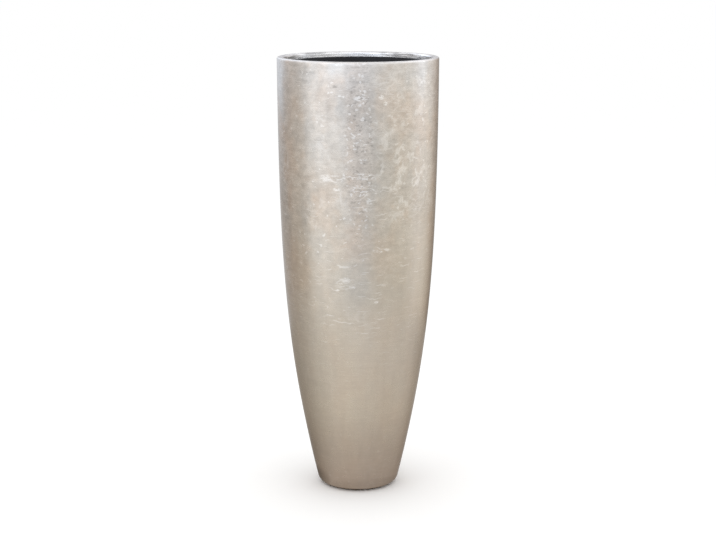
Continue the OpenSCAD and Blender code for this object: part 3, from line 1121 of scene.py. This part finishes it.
def handle_path(fittings):
    """Points of a hanging handle's wire, from the end in one ear to the end in the other, as (y, z)."""
    leg_y = fittings.handle_width / 2
    grip_z = HANDLE_LOW.z + WIRE_RADIUS
    bend, corner = fittings.ear_bend, fittings.grip_bend
    half = [(HANDLE_HIGH.y, PIVOT_Z)]
    half += arc((leg_y + bend, PIVOT_Z - bend), bend, 90, 180, 8)
    half += arc((leg_y - corner, grip_z + corner), corner, 0, -90, 12)
    return half + [(-y, z) for y, z in reversed(half)]


class PLANTER_OT_handles(bpy.types.Operator):
    """Bends the two wire handles"""

    bl_idname = "planter.handles"
    bl_label = "Handles"

    def execute(self, context):
        wire, tree = galvanised_wire(), wire_tree()
        line = handle_path(context.scene.planter_fittings)
        edges = [(i, i + 1) for i in range(len(line) - 1)]
        for side, x in (("left", -PIVOT_X), ("right", PIVOT_X)):
            path = link_mesh("path", [(x, y, z) for y, z in line], edges)
            bail = grown(path, tree, "wire_handle_" + side, radius=WIRE_RADIUS, material=wire)
            keep(bail, "handle_" + side, "handle_wire", "handle_" + side)
        return {"FINISHED"}


class PLANTER_OT_plug(bpy.types.Operator):
    """Turns the rubber drain plug"""

    bl_idname = "planter.plug"
    bl_label = "Drain Plug"

    def execute(self, context):
        fittings = context.scene.planter_fittings
        flange_r, low, high = PLUG_HIGH.x, PLUG_LOW.z, PLUG_HIGH.z
        body_r = flange_r - fittings.plug_cover
        flange_top = high - fittings.knob_height
        seat = flange_top - fittings.plug_flange
        head = high - fittings.plug_flange
        points = [
            (0.0, low),
            (body_r - fittings.plug_taper, low),
            (body_r, low + fittings.plug_taper),
            (body_r, seat),
            (flange_r, seat),
            (flange_r, flange_top),
            (fittings.knob_neck, flange_top),
            (fittings.knob_neck, head),
            (fittings.knob_radius, head),
            (fittings.knob_radius, high),
            (0.0, high),
        ]
        plug = turned(
            "rubber_plug", softened(points, fittings.plug_round),
            steps_around=fittings.plug_steps, material=black_rubber("plug_rubber", 0.8 * MM),
        )
        keep(plug, "drain_plug", "plug_rubber", "drain_plug")
        return {"FINISHED"}


def lamp(name, place, aim, size, radiance, mirrored):
    """A soft box of a given radiance that the camera doesn't see, and that metal shows if mirrored."""
    light = bpy.data.lights.new(name, "AREA")
    light.shape = "RECTANGLE"
    light.size, light.size_y = size
    light.energy = radiance * math.pi * size[0] * size[1]
    box = bpy.data.objects.new(name, light)
    bpy.context.scene.collection.objects.link(box)
    box.location = place
    box.rotation_euler = (Vector(aim) - Vector(place)).to_track_quat("-Z", "Y").to_euler()
    box.visible_camera = False
    box.visible_glossy = mirrored


# Soft boxes: azimuth, distance from the axis, height, height aimed at, size, and whether metal shows it
LAMPS = {
    "key": (-46, 2.4, 1.8, 0.5, (1.2, 1.2), False),
    "top": (0, 0.0, 2.6, 0.0, (1.6, 1.6), False),
    "back": (180, 1.15, 1.35, 0.9, (1.4, 0.6), True),
}


def around(azimuth, distance, height):
    """A place round the planter. Azimuth 0 is in front, and 90 is at the right."""
    a = math.radians(azimuth)
    return distance * math.sin(a), -distance * math.cos(a), height


# Painted light of the glowing reflector round the planter, the bands that metal shows as reflections, by
# azimuth in degrees
WALL_TONES = (
    (-180, (0.36, 0.36, 0.38)),
    (-168, (0.42, 0.42, 0.45)),
    (-156, (1.00, 1.05, 1.13)),
    (-136, (0.81, 0.82, 0.86)),
    (-116, (0.68, 0.64, 0.62)),
    (-95, (0.77, 0.72, 0.67)),
    (-81, (0.80, 0.76, 0.72)),
    (-64, (1.26, 1.27, 1.29)),
    (-48, (1.30, 1.32, 1.36)),
    (-25, (1.24, 1.27, 1.31)),
    (-10, (1.00, 1.04, 1.12)),
    (10, (0.94, 0.99, 1.07)),
    (25, (0.92, 0.92, 0.91)),
    (47, (0.94, 0.92, 0.87)),
    (75, (0.99, 0.97, 0.92)),
    (90, (1.20, 1.19, 1.19)),
    (112, (1.22, 1.20, 1.17)),
    (130, (0.94, 0.88, 0.82)),
    (147, (0.54, 0.49, 0.45)),
    (168, (0.44, 0.43, 0.43)),
    (180, (0.36, 0.36, 0.38)),
)
# Painted light of its part on the floor, which the lower side reflects
APRON_TONES = (
    (-180, (0.80, 0.80, 0.80)),
    (-123, (0.64, 0.63, 0.62)),
    (-95, (0.74, 0.73, 0.72)),
    (-70, (0.94, 0.94, 0.93)),
    (-45, (1.11, 1.11, 1.11)),
    (-15, (1.16, 1.16, 1.16)),
    (10, (1.11, 1.11, 1.12)),
    (47, (1.02, 1.01, 1.01)),
    (80, (0.99, 0.98, 0.98)),
    (105, (0.92, 0.90, 0.90)),
    (130, (0.76, 0.74, 0.73)),
    (180, (0.80, 0.80, 0.80)),
)
# Cool windows of painted light on the reflector, given as places on the leaf are
PAINTED_WINDOWS = (
    (-139, 1.0, 24, 0.50, 1.0),
    (-30, 1.0, 15, 0.34, 0.8),
    (98, 1.0, 10, 0.42, 0.4),
)
# Painted shadow of the planter on its part on the floor, darker places near the foot, with the distance
# from the axis in place of the height
NEAR_SHADES = (
    (-105, 0.08, 70, 0.06, 0.40),
    (20, 0.08, 110, 0.04, 0.16),
)


def reflector(name, rings, tones, studio):
    """A ring-shaped card that glows in soft bands of painted light, which only glossy surfaces see."""
    azimuths = range(0, 360, 5)
    vertices = [around(azimuth, r, z) for r, z in rings for azimuth in azimuths]
    total = len(azimuths)
    faces = [(i, (i + 1) % total, total + (i + 1) % total, total + i) for i in range(total)]
    card = link_mesh(name, vertices, (), faces)
    m = Finish(name + "_cloth")
    x, y, z = m.xyz(m.place)
    turn = m.azimuth(x, y)
    stops = [((azimuth + 180) / 360, tone) for azimuth, tone in tones]
    bands = m.node("ShaderNodeValToRGB", {"stops": stops}, {0: turn / FULL_TURN + 0.5})
    glow = m.times(tuple(studio.glow), m.grey(m.ease(z, studio.glow_from, studio.glow_to)))
    window = m.times(tuple(studio.window), m.grey(m.placed(turn, z, PAINTED_WINDOWS)))
    distance = m.distance(x, y)
    # Painted shadow of the planter: the floor part is darker close to the foot
    near = m.ease(distance, *studio.near_floor, studio.near_shade, 1.0)
    near = near * (1 - m.placed(turn, distance, NEAR_SHADES))
    shown = m.tint(1.0, m.plus(bands, m.plus(glow, window)), m.grey(near))
    card.data.materials.append(m.surface(
        base_color=(0.0, 0.0, 0.0), specular_ior_level=0.0, emission_color=shown, emission_strength=1.0
    ))
    card.visible_camera = card.visible_diffuse = card.visible_shadow = False
    card.visible_transmission = card.visible_volume_scatter = False


def floor(studio):
    """A round white floor, which lights the planter less than it shows."""
    steps = 96
    rim = [around(360 * i / steps, studio.floor_radius, 0.0) for i in range(steps)]
    sheet = link_mesh("floor", rim, (), [tuple(range(steps))])
    m = Finish("floor_paint")
    ray = m.node("ShaderNodeLightPath")
    seen = (ray + m.other(ray, "Is Glossy Ray") + m.other(ray, "Is Transmission Ray")).least(1)
    sheet.data.materials.append(m.surface(
        base_color=m.mix(seen, tuple(studio.floor_colour), tuple(studio.floor_white)),
        roughness=1.0, specular_ior_level=0.0,
    ))


class PLANTER_OT_stage(bpy.types.Operator):
    """Sets up the floor, the soft light and the camera"""

    bl_idname = "planter.stage"
    bl_label = "Studio"

    def execute(self, context):
        studio = context.scene.planter_studio
        self.camera(context, studio)
        self.surroundings(context, studio)
        floor(studio)
        edge = (studio.apron_radius, studio.tent_low)
        corner = (studio.tent_radius, studio.tent_low)
        top = (studio.tent_radius, studio.tent_height)
        reflector("wall_reflector", (corner, top), WALL_TONES, studio)
        reflector("floor_reflector", (edge, corner), APRON_TONES, studio)
        for name, (azimuth, distance, height, aim, size, mirrored) in LAMPS.items():
            radiance = getattr(studio, name + "_light")
            lamp(name + "_box", around(azimuth, distance, height), (0, 0, aim), size, radiance, mirrored)
        return {"FINISHED"}

    def camera(self, context, studio):
        """The camera at the photograph's viewing angle."""
        camera = bpy.data.cameras.new("camera")
        camera.sensor_width = 36.0
        camera.lens = studio.lens
        holder = bpy.data.objects.new("camera", camera)
        context.scene.collection.objects.link(holder)
        holder.location = (0.0, -studio.camera_distance, studio.camera_height)
        holder.rotation_euler = (math.pi / 2 - studio.camera_pitch, 0.0, 0.0)
        context.scene.camera = holder

    def surroundings(self, context, studio):
        """Even white light from all round."""
        world = bpy.data.worlds.new("studio")
        context.scene.world = world
        world.use_nodes = True
        background = world.node_tree.nodes["Background"]
        background.inputs["Color"].default_value = (1.0, 1.0, 1.0, 1.0)
        background.inputs["Strength"].default_value = studio.sky_light
        context.scene.view_settings.view_transform = "Standard"


class PLANTER_PT_panel(bpy.types.Panel):
    """Lists the steps that build the planter"""

    bl_idname = "PLANTER_PT_panel"
    bl_label = "Tall Leaf Planter"
    bl_space_type = "VIEW_3D"
    bl_region_type = "UI"
    bl_category = "Planter"

    def draw(self, context):
        for group in SETTINGS:
            box = self.layout.box()
            settings = getattr(context.scene, group)
            for name in settings.bl_rna.properties.keys():
                if name not in ("rna_type", "name"):
                    box.prop(settings, name)
        for operator in OPERATORS:
            self.layout.operator(operator.bl_idname)


SETTINGS = {
    "planter_shell": ShellSettings,
    "planter_leaf": LeafSettings,
    "planter_liner": LinerSettings,
    "planter_fittings": FittingSettings,
    "planter_studio": StudioSettings,
}
OPERATORS = (
    PLANTER_OT_stage,
    PLANTER_OT_shell,
    PLANTER_OT_foot,
    PLANTER_OT_liner,
    PLANTER_OT_handles,
    PLANTER_OT_plug,
)
CLASSES = (*SETTINGS.values(), *OPERATORS, PLANTER_PT_panel)


def register():
    for made in CLASSES:
        bpy.utils.register_class(made)
    for name, group in SETTINGS.items():
        setattr(bpy.types.Scene, name, bpy.props.PointerProperty(type=group))


def unregister():
    for name in SETTINGS:
        delattr(bpy.types.Scene, name)
    for made in reversed(CLASSES):
        bpy.utils.unregister_class(made)


def main():
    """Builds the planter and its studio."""
    register()
    bpy.ops.planter.stage()
    bpy.ops.planter.shell()
    bpy.ops.planter.foot()
    bpy.ops.planter.liner()
    bpy.ops.planter.handles()
    bpy.ops.planter.plug()


if __name__ == "__main__":
    main()
